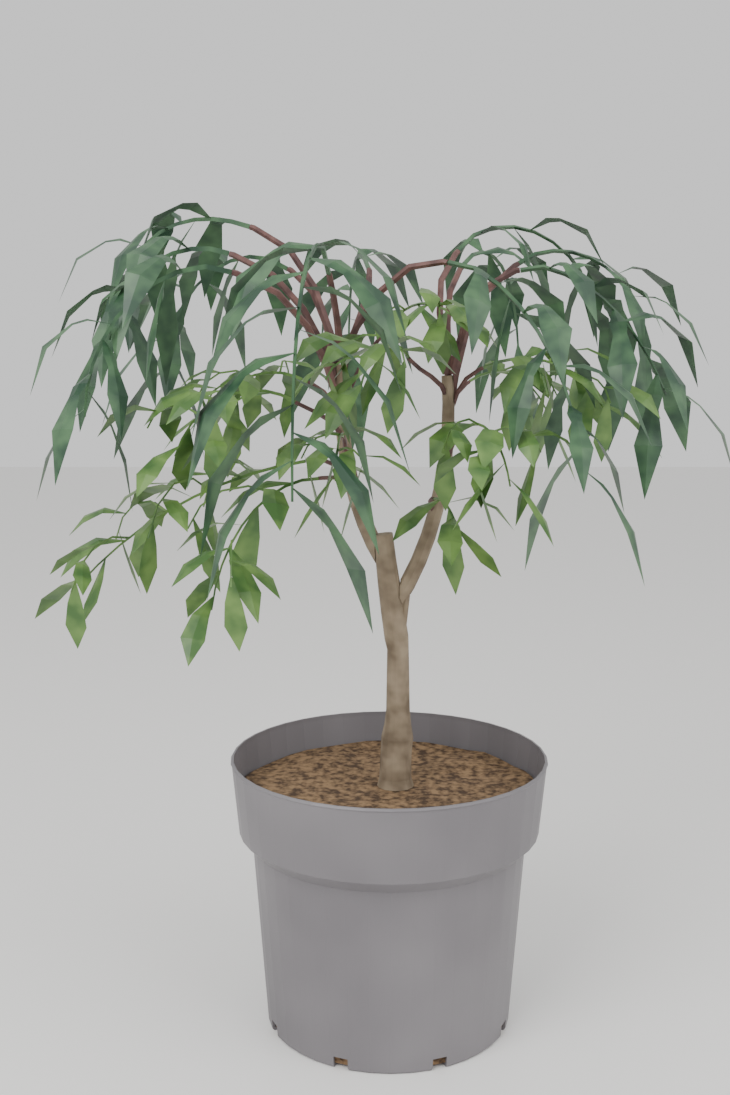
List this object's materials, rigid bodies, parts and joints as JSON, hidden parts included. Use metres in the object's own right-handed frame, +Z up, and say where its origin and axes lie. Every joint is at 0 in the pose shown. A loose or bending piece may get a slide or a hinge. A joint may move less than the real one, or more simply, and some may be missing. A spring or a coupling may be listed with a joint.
{
  "type": "potted weeping rowan tree",
  "caption": "Small grafted weeping rowan with long fern-like leaves on an umbrella of hanging shoots, growing in a round grey nursery pot.",
  "frame": {"origin": "middle of the pot's flat underside", "axes": "+X to the right of the picture, +Y away from the camera, +Z up"},
  "size_m": [0.5, 0.4681, 0.6084],
  "materials": {
    "pot_plastic": "matte warm grey moulded plastic",
    "compost": "loose brown bark and peat compost",
    "bark": "smooth grey-brown bark",
    "young_bark": "dark purple-brown young bark",
    "strap_leaf": "dark green leaf, satin above",
    "fern_leaf": "bright green finely lobed leaf"
  },
  "bodies": {
    "root": {"bough_back": "young_bark", "bough_back_left": "young_bark", "bough_back_mid_left": "young_bark", "bough_back_mid_right": "young_bark", "bough_back_right": "young_bark", "bough_fork": "young_bark", "bough_front": "young_bark", "bough_front_left": "young_bark", "bough_left_front": "young_bark", "bough_left_high": "young_bark", "bough_left_mid": "young_bark", "bough_low_front": "young_bark", "bough_low_left": "young_bark", "bough_main_left": "bark", "bough_main_right": "bark", "bough_mid_front": "young_bark", "bough_mid_low": "young_bark", "bough_right_back": "young_bark", "bough_right_far": "young_bark", "bough_right_front": "young_bark", "bough_right_high": "young_bark", "bough_right_low": "young_bark", "bough_right_mid": "young_bark", "bough_top_mid": "young_bark", "leaves_back": "strap_leaf", "leaves_back_left": "strap_leaf", "leaves_back_mid_left": "fern_leaf", "leaves_back_mid_right": "fern_leaf", "leaves_back_right": "strap_leaf", "leaves_fork": "fern_leaf", "leaves_front": "strap_leaf", "leaves_front_left": "fern_leaf", "leaves_left_front": "strap_leaf", "leaves_left_high": "strap_leaf", "leaves_left_mid": "strap_leaf", "leaves_low_front": "fern_leaf", "leaves_low_left": "fern_leaf", "leaves_mid_front": "fern_leaf", "leaves_mid_low": "fern_leaf", "leaves_right_back": "strap_leaf", "leaves_right_far": "strap_leaf", "leaves_right_front": "strap_leaf", "leaves_right_high": "strap_leaf", "leaves_right_low": "fern_leaf", "leaves_right_mid": "fern_leaf", "leaves_top_mid": "fern_leaf", "pot": "pot_plastic", "soil": "compost", "trunk": "bark"}
  },
  "joints": []
}
